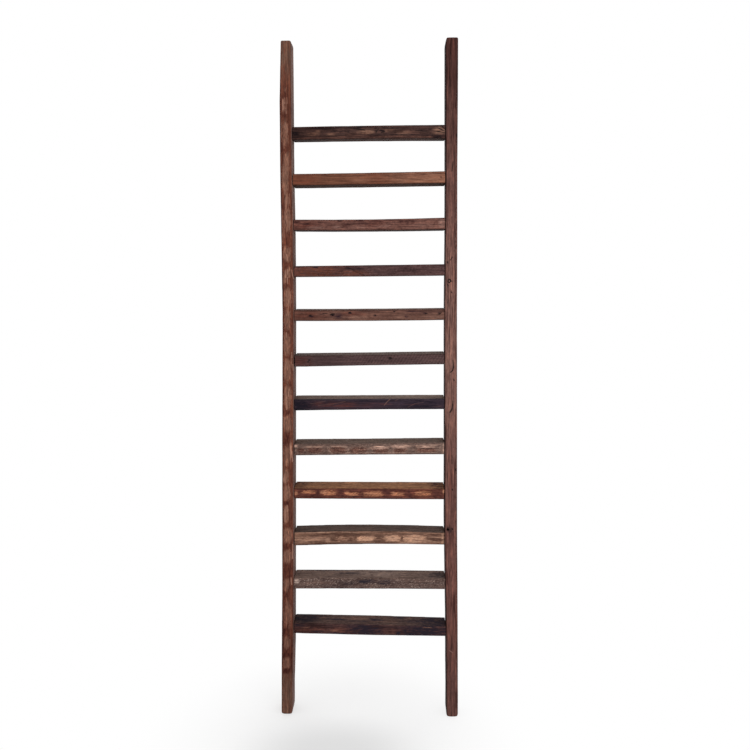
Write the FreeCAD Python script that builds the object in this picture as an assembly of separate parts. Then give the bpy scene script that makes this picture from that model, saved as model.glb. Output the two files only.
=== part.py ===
import FreeCAD
import Part

import os
from collections import namedtuple
from math import asin, degrees, sqrt

from FreeCAD import Placement, Rotation, Vector

# A leaning ladder of reclaimed teak: two rails, twelve rungs tenoned into them, and the screw
# and the teak plug that hold each joint. Millimetres, +Z up, +X to the right, -Y to the front.
# The origin is on the floor, in the middle of the width and of the depth.

# Driving sizes of the rails
OVERALL_WIDTH = 528.0
OVERALL_HEIGHT = 2004.0
LEFT_RAIL_DROP = 5.0
RAIL_WIDTH = 35.0
RAIL_DEPTH = 58.0
RAIL_BOW = 8.4
RAIL_SWELL = 4.0
RAIL_EDGE_RADIUS = 2.0
RAIL_END_WEAR = 2.5
FOOT_CORNER_RADIUS = 7.5
TOP_OUTER_CORNER = 3.0
LEFT_TOP_CORNER_WIDTH = 5.0
LEFT_TOP_CORNER_HEIGHT = 5.5
RIGHT_TOP_CORNER_WIDTH = 6.0
RIGHT_TOP_CORNER_HEIGHT = 18.0

# Driving sizes of the rungs
RUNG_COUNT = 12
FIRST_RUNG_HEIGHT = 257.5
TOP_RUNG_DROP = 276.0
RUNG_FACE = 33.0
RUNG_DEPTH = 54.0
RUNG_SET_BACK = 1.5
RUNG_EDGE_RADIUS = 1.8

# Driving sizes of the tenon joints
TENON_LENGTH = 14.0
TENON_HEIGHT = 17.0
TENON_DEPTH = 34.0
TENON_CLEARANCE = 0.15
MORTISE_END_GAP = 0.8
SHOULDER_GAP = 0.3

# Driving sizes of the screws and plugs
SCREW_LENGTH = 70.0
SCREW_RADIUS = 2.5
SCREW_HEAD_RADIUS = 4.6
SCREW_HEAD_HEIGHT = 3.2
SCREW_TIP_LENGTH = 6.0
SCREW_CLEARANCE = 0.1
PLUG_RADIUS = 5.0
PLUG_LENGTH = 7.0
PLUG_CLEARANCE = 0.05

# Driving sizes of the adze hollows and of the old nail holes
HOLLOW_WIDTH = 18.0
HOLLOW_DEPTH = 1.1
NAIL_HOLE_RADIUS = 2.0
NAIL_HOLE_DEPTH = 9.0

# How far every cutter runs past the face that it opens
OVERRUN = 5.0

RUNG_PITCH = (OVERALL_HEIGHT - FIRST_RUNG_HEIGHT - TOP_RUNG_DROP) / (RUNG_COUNT - 1)
FRONT = -RAIL_DEPTH / 2

RIGHT = Vector(1, 0, 0)
BACK = Vector(0, 1, 0)
UP = Vector(0, 0, 1)

# How a grown, hand-dressed rail wanders: share of its length, share of the bow by which its
# outer face stands in there, and share of the swell that its width gains
LEFT_RAIL_SHARES = [
    (0.00, 0.32, -0.31),
    (0.04, 0.38, -0.30),
    (0.10, 0.45, 0.28),
    (0.20, 0.64, 0.11),
    (0.40, 0.73, 0.13),
    (0.50, 0.82, 0.01),
    (0.60, 0.90, 0.02),
    (0.71, 0.53, 0.51),
    (0.81, 0.19, 0.26),
    (0.91, 0.00, 0.40),
    (1.00, 0.45, -0.96),
]
RIGHT_RAIL_SHARES = [
    (0.00, 0.00, -0.02),
    (0.04, 0.00, -0.04),
    (0.14, 0.10, 0.06),
    (0.29, 0.35, 0.68),
    (0.50, 0.46, 0.54),
    (0.60, 0.52, 0.48),
    (0.71, 0.44, 0.19),
    (0.81, 0.47, 0.14),
    (0.91, 0.31, 0.53),
    (1.00, 0.26, 0.63),
]

Rail = namedtuple("Rail", "side length shares corner_width corner_height")
RAILS = {
    "left": Rail(
        -1, OVERALL_HEIGHT - LEFT_RAIL_DROP, LEFT_RAIL_SHARES,
        LEFT_TOP_CORNER_WIDTH, LEFT_TOP_CORNER_HEIGHT,
    ),
    "right": Rail(
        1, OVERALL_HEIGHT, RIGHT_RAIL_SHARES,
        RIGHT_TOP_CORNER_WIDTH, RIGHT_TOP_CORNER_HEIGHT,
    ),
}

# One row for each rung, from the floor up. The lift of its middle line, its climb to the right
# and its arch are shares of the pitch. Its face at the left end, the middle and the right end
# is a share of the common face, its tilt the share of its depth by which the back edge rises,
# and its set-back and left shoulder shares of the common ones.
Rung = namedtuple(
    "Rung", "lift_share climb_share arch_share face_shares tilt_share set_back_share gap_share"
)
RUNG_SHARES = [
    Rung(0.002, -0.027, -0.001, (0.98, 1.03, 0.91), 0.068, 1.0, 1.0),
    Rung(0.030, 0.021, 0.006, (1.04, 1.03, 0.98), 0.074, 1.2, 1.0),
    Rung(0.025, 0.038, 0.029, (1.25, 1.22, 1.12), 0.046, 0.9, 4.0),
    Rung(0.037, 0.012, 0.000, (1.00, 1.02, 1.01), 0.110, 1.5, 1.0),
    Rung(0.022, 0.049, 0.000, (1.05, 1.03, 1.07), 0.086, 1.4, 1.0),
    Rung(0.011, 0.039, 0.004, (1.00, 0.93, 0.93), 0.105, 1.6, 1.0),
    Rung(-0.012, 0.060, 0.001, (1.03, 0.97, 0.97), 0.047, 1.4, 4.0),
    Rung(-0.019, 0.029, -0.007, (1.00, 1.00, 1.00), 0.033, 0.9, 1.0),
    Rung(-0.045, 0.037, -0.002, (1.01, 1.04, 1.05), 0.010, 0.7, 1.0),
    Rung(-0.026, 0.026, -0.014, (0.98, 0.99, 1.06), -0.030, 1.0, 2.0),
    Rung(-0.026, 0.044, -0.003, (1.06, 1.07, 1.09), -0.060, 0.8, 2.4),
    Rung(-0.003, 0.022, 0.007, (1.17, 1.19, 1.23), 0.030, 0.5, 1.0),
]

# Where a rung's outline is drawn along its span, and how the outlines close up towards a
# rail's worn end, as shares of the worn height
RUNG_STATION_SHARES = (0, 0.25, 0.5, 0.75, 1)
END_STATION_SHARES = (0, 0.03, 0.12, 0.3, 0.6, 1)

# Adze hollows in the front of a rung, by the rung's number: share of its span from the left,
# share of its face from the top, length as a share of the span, share of the common width
RUNG_HOLLOW_SHARES = {
    3: [
        (0.222, 0.42, 0.037, 0.50),
        (0.327, 0.41, 0.117, 0.90),
        (0.473, 0.39, 0.130, 1.07),
        (0.653, 0.40, 0.112, 1.30),
        (0.800, 0.45, 0.138, 1.40),
    ],
    4: [
        (0.092, 0.52, 0.096, 1.00),
        (0.229, 0.51, 0.107, 1.15),
        (0.384, 0.39, 0.091, 0.95),
        (0.526, 0.44, 0.119, 1.10),
        (0.691, 0.40, 0.085, 1.00),
        (0.858, 0.52, 0.115, 1.00),
    ],
    5: [
        (0.050, 0.46, 0.069, 0.85),
        (0.140, 0.52, 0.094, 0.97),
        (0.285, 0.54, 0.115, 1.00),
        (0.426, 0.46, 0.115, 0.85),
        (0.582, 0.46, 0.096, 0.80),
        (0.711, 0.54, 0.101, 0.85),
        (0.870, 0.50, 0.112, 0.85),
    ],
}

# Adze hollows in the front of the left rail: share of its length from the floor, share of its
# width from the outer face, length as a share of the rail's, share of the common width
RAIL_HOLLOW_SHARES = [
    (0.075, 0.44, 0.021, 1.30),
    (0.106, 0.46, 0.027, 1.35),
    (0.148, 0.50, 0.048, 1.35),
    (0.194, 0.42, 0.021, 1.15),
    (0.232, 0.48, 0.025, 1.40),
    (0.266, 0.44, 0.021, 1.25),
    (0.297, 0.34, 0.024, 0.95),
    (0.332, 0.44, 0.036, 1.25),
    (0.364, 0.40, 0.027, 1.15),
    (0.392, 0.42, 0.027, 1.20),
    (0.434, 0.46, 0.027, 1.35),
    (0.469, 0.50, 0.031, 0.95),
    (0.519, 0.52, 0.025, 1.40),
    (0.549, 0.42, 0.036, 1.45),
    (0.648, 0.52, 0.030, 1.45),
    (0.682, 0.48, 0.023, 1.30),
    (0.733, 0.42, 0.035, 1.25),
    (0.775, 0.40, 0.040, 1.20),
    (0.813, 0.38, 0.036, 1.15),
    (0.864, 0.50, 0.043, 1.50),
    (0.906, 0.42, 0.022, 0.95),
]

# Old nail holes in a front face: share along the piece, share across it, share of the radius.
# A rail counts from the floor and from its inner face, a rung from its left end and its top.
RAIL_NAIL_SHARES = [
    (0.2780, 0.25, 1.90),
    (0.4500, 0.37, 0.75),
    (0.4590, 0.58, 0.80),
    (0.6410, 0.48, 0.55),
    (0.6435, 0.24, 1.20),
    (0.6765, 0.47, 0.60),
]
RUNG_NAIL_SHARES = {
    8: [
        (0.107, 0.42, 0.75),
        (0.210, 0.62, 0.60),
        (0.258, 0.50, 1.00),
        (0.372, 0.72, 0.75),
        (0.540, 0.44, 0.70),
        (0.878, 0.62, 0.75),
    ],
    12: [(0.592, 0.50, 1.00)],
}


def between(rows, share):
    """The other columns of a table at a share, from the two rows whose first column brackets it."""
    for low, high in zip(rows, rows[1:]):
        if share <= high[0]:
            break
    weight = (share - low[0]) / (high[0] - low[0])
    return [start + weight * (end - start) for start, end in zip(low[1:], high[1:])]


def rounded_rectangle(x_low, x_high, y_low, y_high, radius):
    """A closed wire in the plane Z = 0 whose four corners are rounded."""
    quarter_turn = 90
    centres = [
        Vector(x_high - radius, y_high - radius, 0),
        Vector(x_low + radius, y_high - radius, 0),
        Vector(x_low + radius, y_low + radius, 0),
        Vector(x_high - radius, y_low + radius, 0),
    ]
    arcs = [
        Part.makeCircle(radius, centre, UP, quarter_turn * corner, quarter_turn * (corner + 1))
        for corner, centre in enumerate(centres)
    ]
    edges = []
    for arc, following in zip(arcs, arcs[1:] + arcs[:1]):
        edges += [arc, Part.makeLine(arc.lastVertex().Point, following.firstVertex().Point)]
    return Part.Wire(edges)


def turned(outline):
    """The solid that an outline, drawn as (radius, z) points from axis to axis, makes about Z."""
    points = [Vector(radius, 0, z) for radius, z in outline]
    return Part.Face(Part.makePolygon(points + points[:1])).revolve(Vector(), UP)


def box_around(x_low, x_high, middle, depth, height):
    """A box from x_low to x_high, with its depth and height centred on a point."""
    corner = Vector(x_low, middle.y - depth / 2, middle.z - height / 2)
    return Part.makeBox(x_high - x_low, depth, height, corner)


def rail_faces(rail, z):
    """x of a rail's outer and inner face at the height z."""
    lean_share, swell_share = between(rail.shares, z / rail.length)
    outer = OVERALL_WIDTH / 2 - lean_share * RAIL_BOW
    inner = outer - RAIL_WIDTH - swell_share * RAIL_SWELL
    return rail.side * outer, rail.side * inner


def wear(distance, width, height):
    """How far a corner worn this wide and high has drawn back at a distance from the end."""
    if distance >= height:
        return 0
    return width * (1 - sqrt(1 - (1 - distance / height) ** 2))


def rail_section(rail, z):
    """A rail's outline at the height z, drawn in where its ends are worn."""
    outer, inner = rail_faces(rail, z)
    drop = rail.length - z
    foot_inset = wear(z, FOOT_CORNER_RADIUS, FOOT_CORNER_RADIUS)
    outer_inset = foot_inset + wear(drop, TOP_OUTER_CORNER, TOP_OUTER_CORNER)
    inner_inset = foot_inset + wear(drop, rail.corner_width, rail.corner_height)
    face_inset = wear(min(z, drop), RAIL_END_WEAR, RAIL_END_WEAR)
    sides = sorted([outer - rail.side * outer_inset, inner + rail.side * inner_inset])
    section = rounded_rectangle(
        sides[0], sides[1], FRONT + face_inset, -FRONT - face_inset, RAIL_EDGE_RADIUS
    )
    section.translate(UP * z)
    return section


def rail_blank(rail):
    """A rail before it is cut: outlines at its stations, closer together at its worn ends."""
    heights = [share * FOOT_CORNER_RADIUS for share in END_STATION_SHARES]
    heights += [row[0] * rail.length for row in rail.shares[1:-1]]
    heights += [rail.length - share * rail.corner_height for share in reversed(END_STATION_SHARES)]
    return Part.makeLoft([rail_section(rail, z) for z in heights], True, True)


def rung_row(number):
    """A rung's own row of shares; a ladder with more rungs goes through the rows again."""
    return RUNG_SHARES[(number - 1) % len(RUNG_SHARES)]


def rung_face(number, share):
    """The height of a rung's front face at a share of its span."""
    left, middle, right = rung_row(number).face_shares
    face_share = between([(0, left), (0.5, middle), (1, right)], share)[0]
    return RUNG_FACE * face_share


def rung_middle(number, share):
    """The middle of a rung's section at a share of its span; its x is left at zero."""
    row = rung_row(number)
    arch = row.arch_share * (1 - (2 * share - 1) ** 2)
    steps = number - 1 + row.lift_share + row.climb_share * (share - 0.5) + arch
    y = FRONT + row.set_back_share * RUNG_SET_BACK + RUNG_DEPTH / 2
    return Vector(0, y, FIRST_RUNG_HEIGHT + steps * RUNG_PITCH)


def rung_ends(number):
    """x of a rung's left and right shoulder, each just short of its rail's inner face."""
    left = rail_faces(RAILS["left"], rung_middle(number, 0).z)[1]
    right = rail_faces(RAILS["right"], rung_middle(number, 1).z)[1]
    return left + rung_row(number).gap_share * SHOULDER_GAP, right - SHOULDER_GAP


def rung_blank(number):
    """A rung between its shoulders: a soft-edged outline at each station along its span."""
    left, right = rung_ends(number)
    upright = Rotation(BACK, UP, RIGHT, "XYZ")
    tilt = Rotation(RIGHT, degrees(asin(rung_row(number).tilt_share)))
    sections = []
    for share in RUNG_STATION_SHARES:
        face = rung_face(number, share)
        section = rounded_rectangle(
            -RUNG_DEPTH / 2, RUNG_DEPTH / 2, -face / 2, face / 2, RUNG_EDGE_RADIUS
        )
        place = rung_middle(number, share) + RIGHT * (left + share * (right - left))
        section.Placement = Placement(place, tilt * upright)
        sections.append(section)
    return Part.makeLoft(sections, True, True)


def joint_middle(name, number):
    """The point where a rung's middle line meets the inner face of the rail of this name."""
    rail = RAILS[name]
    middle = rung_middle(number, (rail.side + 1) / 2)
    middle.x = rail_faces(rail, middle.z)[1]
    return middle


def tenon(name, number):
    """A rung's tenon into a rail, which reaches back under the rung's shoulder."""
    middle = joint_middle(name, number)
    side = RAILS[name].side
    x_low, x_high = sorted([middle.x - side * TENON_LENGTH, middle.x + side * TENON_LENGTH])
    return box_around(x_low, x_high, middle, TENON_DEPTH, TENON_HEIGHT)


def mortise(name, number):
    """The pocket in a rail that a tenon fits with clearance all round."""
    middle = joint_middle(name, number)
    side = RAILS[name].side
    reach = TENON_LENGTH + MORTISE_END_GAP
    x_low, x_high = sorted([middle.x - side * OVERRUN, middle.x + side * reach])
    room = 2 * TENON_CLEARANCE
    return box_around(x_low, x_high, middle, TENON_DEPTH + room, TENON_HEIGHT + room)


def driven(solid, name, number):
    """A fixing made along +Z from zero, set at a joint from its rail's outer face inwards."""
    rail = RAILS[name]
    middle = joint_middle(name, number)
    middle.x = rail_faces(rail, middle.z)[0]
    solid.Placement = Placement(middle, Rotation(UP, RIGHT * -rail.side))
    return solid


def plug_bore(name, number):
    """The counterbore for a plug, open at the rail's outer face."""
    bore = Part.makeCylinder(
        PLUG_RADIUS + PLUG_CLEARANCE, PLUG_LENGTH + OVERRUN, Vector(0, 0, -OVERRUN), UP
    )
    return driven(bore, name, number)


def plug(name, number):
    """A teak plug, flush with the rail's outer face."""
    return driven(Part.makeCylinder(PLUG_RADIUS, PLUG_LENGTH), name, number)


def screw(name, number, clearance=0):
    """A countersunk screw under its plug, or with a clearance the hole that it runs in."""
    shank = SCREW_RADIUS + clearance
    head = SCREW_HEAD_RADIUS + clearance
    top = PLUG_LENGTH + SCREW_CLEARANCE - clearance
    seat = PLUG_LENGTH + SCREW_CLEARANCE + SCREW_HEAD_HEIGHT
    tip = top + SCREW_LENGTH + 2 * clearance
    outline = [(0, top), (head, top), (shank, seat), (shank, tip - SCREW_TIP_LENGTH), (0, tip)]
    return driven(turned(outline), name, number)


def hollow(length, width, along):
    """A spindle that scoops a hollow of this length and width; its axis is in front of the face."""
    along_radius = (length ** 2 / 4 + HOLLOW_DEPTH ** 2) / (2 * HOLLOW_DEPTH)
    across_radius = (width ** 2 / 4 + HOLLOW_DEPTH ** 2) / (2 * HOLLOW_DEPTH)
    half = sqrt(along_radius ** 2 - (along_radius - across_radius) ** 2)
    ends = [Vector(0, 0, -half), Vector(0, 0, half)]
    arc = Part.Arc(ends[0], RIGHT * across_radius, ends[1]).toShape()
    face = Part.Face(Part.Wire([arc, Part.makeLine(ends[1], ends[0])]))
    spindle = face.revolve(Vector(), UP)
    spindle.Placement = Placement(BACK * (HOLLOW_DEPTH - across_radius), Rotation(UP, along))
    return spindle


def rail_marks(name):
    """The cutters for the marks in a rail's front: hollows on the left, nail holes on the right."""
    rail = RAILS[name]
    cutters = []
    if name == "left":
        for height_share, width_share, length_share, hollow_width_share in RAIL_HOLLOW_SHARES:
            z = height_share * rail.length
            outer, inner = rail_faces(rail, z)
            cutter = hollow(length_share * rail.length, hollow_width_share * HOLLOW_WIDTH, UP)
            cutter.translate(Vector(outer + width_share * (inner - outer), FRONT, z))
            cutters.append(cutter)
    else:
        for height_share, width_share, radius_share in RAIL_NAIL_SHARES:
            z = height_share * rail.length
            outer, inner = rail_faces(rail, z)
            start = Vector(inner + width_share * (outer - inner), FRONT - OVERRUN, z)
            cutters.append(nail_hole(start, radius_share))
    return cutters


def nail_hole(start, radius_share):
    """The cutter for an old nail hole, from a start that is one overrun before the face."""
    length = OVERRUN + NAIL_HOLE_DEPTH
    return Part.makeCylinder(radius_share * NAIL_HOLE_RADIUS, length, start, BACK)


def rung_marks(number):
    """The cutters for the hollows and nail holes in a rung's front, on its tilted face."""
    left, right = rung_ends(number)
    tilt_share = rung_row(number).tilt_share

    def place(span_share, face_share):
        face = rung_face(number, span_share)
        up_face = (0.5 - face_share) * face
        middle = rung_middle(number, span_share)
        y = middle.y - RUNG_DEPTH / 2 - up_face * tilt_share
        return Vector(left + span_share * (right - left), y, middle.z + up_face)

    cutters = []
    for span_share, face_share, length_share, width_share in RUNG_HOLLOW_SHARES.get(number, []):
        cutter = hollow(length_share * (right - left), width_share * HOLLOW_WIDTH, RIGHT)
        cutter.translate(place(span_share, face_share))
        cutters.append(cutter)
    for span_share, face_share, radius_share in RUNG_NAIL_SHARES.get(number, []):
        start = place(span_share, face_share) - BACK * OVERRUN
        cutters.append(nail_hole(start, radius_share))
    return cutters


def make_rail(name):
    """A rail with its mortises, screw holes and counterbores, and the marks in its front."""
    cutters = rail_marks(name)
    for number in range(1, RUNG_COUNT + 1):
        cutters.append(mortise(name, number))
        cutters.append(screw(name, number, SCREW_CLEARANCE))
        cutters.append(plug_bore(name, number))
    return rail_blank(RAILS[name]).cut(cutters)


def make_rung(number):
    """A rung with a tenon at each end, the screw holes in its end grain, and its marks."""
    bar = rung_blank(number).fuse([tenon(name, number) for name in RAILS])
    cutters = [screw(name, number, SCREW_CLEARANCE) for name in RAILS]
    return bar.cut(cutters + rung_marks(number))


def save(name, shape):
    """Write one node, after checking that it is sound."""
    if not shape.isValid():
        raise ValueError(name + " is not a valid shape")
    shape.exportStep(os.path.join("parts", name + ".step"))
    print(name, len(shape.Solids), "solid(s),", round(shape.Volume), "cubic mm")


os.makedirs("parts", exist_ok=True)
rung_numbers = range(1, RUNG_COUNT + 1)
for rail_name in RAILS:
    save("rail_" + rail_name, make_rail(rail_name))
    save("screws_" + rail_name, Part.makeCompound([screw(rail_name, n) for n in rung_numbers]))
    save("plugs_" + rail_name, Part.makeCompound([plug(rail_name, n) for n in rung_numbers]))
for rung_number in rung_numbers:
    save("rung_{:02d}".format(rung_number), make_rung(rung_number))
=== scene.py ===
import math
from collections import namedtuple
from functools import partialmethod

import bpy
import numpy as np
from bpy.props import FloatProperty, FloatVectorProperty, PointerProperty
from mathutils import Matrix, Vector


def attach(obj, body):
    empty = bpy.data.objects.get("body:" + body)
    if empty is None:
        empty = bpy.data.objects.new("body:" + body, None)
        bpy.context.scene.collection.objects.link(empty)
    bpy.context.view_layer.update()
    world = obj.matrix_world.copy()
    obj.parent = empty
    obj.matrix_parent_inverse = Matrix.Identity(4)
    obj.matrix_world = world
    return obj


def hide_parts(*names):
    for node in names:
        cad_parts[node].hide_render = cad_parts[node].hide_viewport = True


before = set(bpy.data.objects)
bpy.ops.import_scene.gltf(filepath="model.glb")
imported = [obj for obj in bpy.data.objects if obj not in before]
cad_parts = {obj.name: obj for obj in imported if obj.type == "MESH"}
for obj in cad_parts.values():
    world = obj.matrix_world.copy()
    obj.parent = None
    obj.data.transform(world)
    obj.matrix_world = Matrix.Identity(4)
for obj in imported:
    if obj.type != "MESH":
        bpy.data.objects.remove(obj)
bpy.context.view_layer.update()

bl_info = {
    "name": "Reclaimed teak ladder",
    "version": (1, 0, 0),
    "blender": (4, 5, 0),
    "location": "3D View > Sidebar > Ladder",
    "description": "Dresses the ladder's boards, plugs and screws, and sets them on a stage",
    "category": "Object",
}

MM = 0.001

# A board's colours, sRGB from 0 to 255: the body of its front, its dark stains, its pale and its
# warm patches, its flank (a rung's top, a rail's inner side), which is partly the side's own tone
# and partly painted shade, dark as shade on the right rail's inner side, and its adze hollows with
# the rim round each.
Colours = namedtuple("Colours", "body dark pale warm flank hollow rim", defaults=[None, None])
# How strongly each kind of figure shows: dark and light grain, thin dark hairs, weathered
# mottling, pale flecks and slanting saw marks, how far the darker band is left off the upper
# arris of its front, how dark the painted shade on its underside is, how far, in mm, the front's
# wood shows on the top face, and how strongly the adze's strokes show in its hollows.
Look = namedtuple(
    "Look", "grain light hair mottle fleck saw rubbed under over stroke",
    defaults=[0.6, 0.4, 0.4, 0.4, 0.0, 0.0, 0.0, 0.9, 0, 0.6],
)
# A board's marks lie on the front or the top face: share along the board, share across the
# face, length and height in mm, and strength. Shares along a rail count from the floor and
# across it from its outer face, along a rung from its left shoulder and across it from its
# lower edge. Dim marks are painted shade: they darken the wood evenly on every side, mostly at
# the rungs' left ends next to the rail and towards the rails' ends. Its cracks and scratches lie
# in the front: x and z of one end, x and z of the other and the width, in mm.
Board = namedtuple(
    "Board",
    "colours look dark pale warm hollow top_dark top_pale dim "
    "scratches mild_scratches thin_scratches cracks faint_cracks",
    defaults=[()] * 12,
)
# The share of pale paint that scratches take, and of nearly black paint that cracks take
SCRATCHES = {"scratches": 0.7, "mild_scratches": 0.4, "thin_scratches": 0.15}
CRACKS = {"cracks": 0.9, "faint_cracks": 0.5}

BOARDS = {}
BOARDS["rail_left"] = Board(
    Colours(
        (111, 66, 51), (68, 33, 27), (172, 130, 112), (104, 77, 65), (114, 89, 82),
        hollow=(129, 92, 77), rim=(82, 43, 35),
    ),
    Look(grain=0.5, light=0.7, hair=0.7, mottle=0.55, rubbed=0.7, stroke=0.35),
    dark=[
        (0.52, 0.02, 2000, 5, 0.8), (0.927, 0.05, 47, 7, 0.5), (0.918, 0.4, 13, 22, 0.44),
        (0.889, 0.3, 15, 18, 0.39), (0.835, 0.13, 47, 9, 0.44), (0.753, 0.2, 39, 9, 0.44),
        (0.705, 0.45, 35, 20, 0.19), (0.636, 0.3, 13, 18, 0.28), (0.573, 0.05, 127, 5, 0.6),
        (0.451, 0.35, 16, 22, 0.64), (0.411, 0.35, 39, 24, 0.56), (0.356, 0.75, 48, 9, 0.4),
        (0.316, 0.4, 13, 20, 0.56), (0.292, 0.76, 48, 10, 0.56), (0.251, 0.33, 19, 22, 0.64),
        (0.215, 0.45, 39, 30, 0.72), (0.178, 0.2, 21, 13, 0.72), (0.195, 0.68, 48, 3, 0.64),
        (0.124, 0.24, 21, 16, 0.72), (0.091, 0.4, 21, 28, 0.8), (0.065, 0.45, 15, 31, 0.8),
        (0.088, 0.85, 82, 6, 0.72), (0.106, 0.05, 102, 6, 0.7), (0.532, 0.4, 9, 16, 0.28),
        (0.61, 0.05, 150, 5, 0.6),
    ],
    pale=[
        (0.903, 0.3, 38, 4, 0.7), (0.353, 0.16, 25, 4, 0.8), (0.394, 0.75, 56, 3, 0.7),
        (0.724, 0.13, 90, 3, 0.6), (0.471, 0.36, 62, 3, 0.5), (0.618, 0.55, 38, 3, 0.5),
    ],
    warm=[(0.02, 0.5, 170, 60, 1), (0.99, 0.5, 150, 60, 1)],
    hollow=[
        (0.928, 0.5, 21, 17, 0.5), (0.903, 0.38, 46, 20, 0.55), (0.864, 0.44, 90, 22, 0.75),
        (0.82, 0.56, 68, 17, 0.95), (0.798, 0.4, 95, 22, 1), (0.766, 0.5, 56, 13, 0.9),
        (0.735, 0.55, 83, 18, 1), (0.685, 0.44, 47, 25, 1), (0.658, 0.6, 35, 16, 0.95),
        (0.651, 0.24, 42, 10, 0.9), (0.621, 0.5, 62, 22, 1), (0.588, 0.47, 74, 20, 0.9),
        (0.552, 0.38, 70, 21, 1), (0.512, 0.47, 74, 22, 1), (0.527, 0.8, 52, 7, 0.85),
        (0.475, 0.48, 80, 22, 1), (0.434, 0.44, 52, 25, 1), (0.393, 0.72, 65, 10, 0.95),
        (0.386, 0.4, 67, 17, 1), (0.356, 0.32, 48, 17, 1), (0.332, 0.44, 50, 22, 1),
        (0.299, 0.37, 55, 18, 1), (0.268, 0.5, 49, 27, 1), (0.236, 0.44, 46, 25, 1),
        (0.194, 0.4, 45, 22, 0.85), (0.15, 0.48, 102, 25, 0.8), (0.108, 0.45, 49, 22, 0.85),
        (0.077, 0.44, 39, 22, 1),
    ],
    dim=[(0.12, 0.5, 300, 60, 0.45), (0.89, 0.5, 160, 60, 0.15)],
    scratches=[
        (-242.5, 1369, -241, 1351, 2.4), (-240, 1324, -239.5, 1310, 2.4),
        (-246, 1322, -245.5, 1301, 2.4), (-241, 1301, -240, 1283, 2.4),
        (-229, 1324, -223, 1298, 2.4), (-244.5, 1138, -244.5, 1124, 2.4),
        (-228.5, 1079, -227.5, 1064, 2.4), (-225.5, 1044, -224.5, 1026, 2.4),
        (-237, 970, -238, 949, 2.4), (-243.5, 931, -243, 910, 2.4), (-228, 786, -226.5, 756, 2.4),
        (-242.5, 625, -242.5, 607, 2.4), (-249, 613, -249, 577, 2.4), (-227, 509, -226, 467, 2.4),
        (-231, 410, -229.5, 389, 2.4),
    ],
    mild_scratches=[
        (-248, 1830, -248, 1813, 2.4), (-241.5, 1830, -241, 1813, 2.4),
        (-244, 1798, -243, 1784, 2.4), (-246.5, 1757, -246, 1737, 2.2),
        (-241.5, 1751, -241, 1728, 2.2), (-251, 1698, -250.5, 1681, 2.2),
        (-244, 1625, -244.5, 1607, 2.2), (-248.5, 1563, -248, 1546, 2.4),
        (-245, 1537, -244.5, 1504, 2.4), (-234.5, 1548, -234.5, 1519, 2.2),
        (-248.5, 1495, -247.5, 1472, 2.4), (-243.5, 1484, -242, 1460, 2.4),
        (-235, 1466, -234, 1442, 2.2), (-251, 1469, -250, 1419, 2.2),
        (-243, 1260, -242.5, 1242, 2.2), (-243, 1209, -243, 1192, 2.2),
        (-245, 1061, -245, 1032, 2.2), (-248, 711, -247.5, 693, 2.2),
    ],
)
BOARDS["rail_right"] = Board(
    Colours((114, 80, 73), (56, 39, 38), (140, 105, 95), (110, 70, 63), (50, 31, 28)),
    Look(grain=0.5, light=1, hair=1.25),
    dark=[
        (0.857, 0.03, 10, 7, 1), (0.278, 0.68, 18, 16, 1), (0.7, 0.15, 260, 6, 0.5),
        (0.3, 0.12, 300, 6, 0.5), (0.63, 0.8, 120, 4, 0.5), (0.5, 0.3, 160, 3, 0.5),
    ],
    pale=[(0.56, 0.5, 560, 60, 0.5), (0.87, 0.6, 160, 8, 0.4)],
    warm=[(0.2, 0.5, 400, 60, 0.4), (0.36, 0.6, 200, 12, 0.6)],
    dim=[
        (0.975, 0.5, 300, 60, 1), (0.9, 0.5, 300, 60, 0.75), (0.8, 0.5, 160, 60, 0.3),
        (0.05, 0.5, 460, 60, 0.45),
    ],
    scratches=[(237.5, 199, 248.5, 192, 2.6)],
    cracks=[
        (240, 1352.5, 245, 1361, 3), (248, 1058, 249, 1036.5, 3), (249, 1036.5, 246, 1027, 3.2),
        (246, 1027, 240.5, 1022.5, 3.2), (250, 1002, 251, 998.5, 4.2),
        (246, 926.5, 244.5, 914, 3.6), (244.5, 914, 239, 904.5, 4.4), (247.5, 938, 246, 926.5, 2.6),
        (245, 777, 244.5, 753.5, 3), (255.5, 737, 256, 733.5, 4), (246, 678, 246.5, 674.5, 3.8),
        (245.5, 561, 246.5, 557.5, 4), (230, 1347, 231, 1343, 4), (233.5, 1293.5, 236, 1296.5, 3.4),
        (236, 1296.5, 239.5, 1294, 3.4), (239.5, 1294, 240, 1289, 3.4),
        (240, 1289, 236, 1285.5, 3.4), (236, 1285.5, 233, 1288.5, 3.4),
        (233, 1288.5, 233.5, 1293.5, 3.4), (243, 1290, 244.5, 1288.5, 3.6),
        (232, 1280, 233, 1276.5, 3.4), (242, 1262, 243, 1256, 3), (247, 1640, 243, 1612, 2.8),
    ],
    faint_cracks=[
        (240, 1960, 240.5, 1860, 2.4), (251, 1690, 249, 1560, 2.2), (243, 1480, 241, 1390, 2.2),
        (252, 1230, 251, 1150, 2.4), (247, 880, 249, 800, 2.4),
    ],
)
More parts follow.
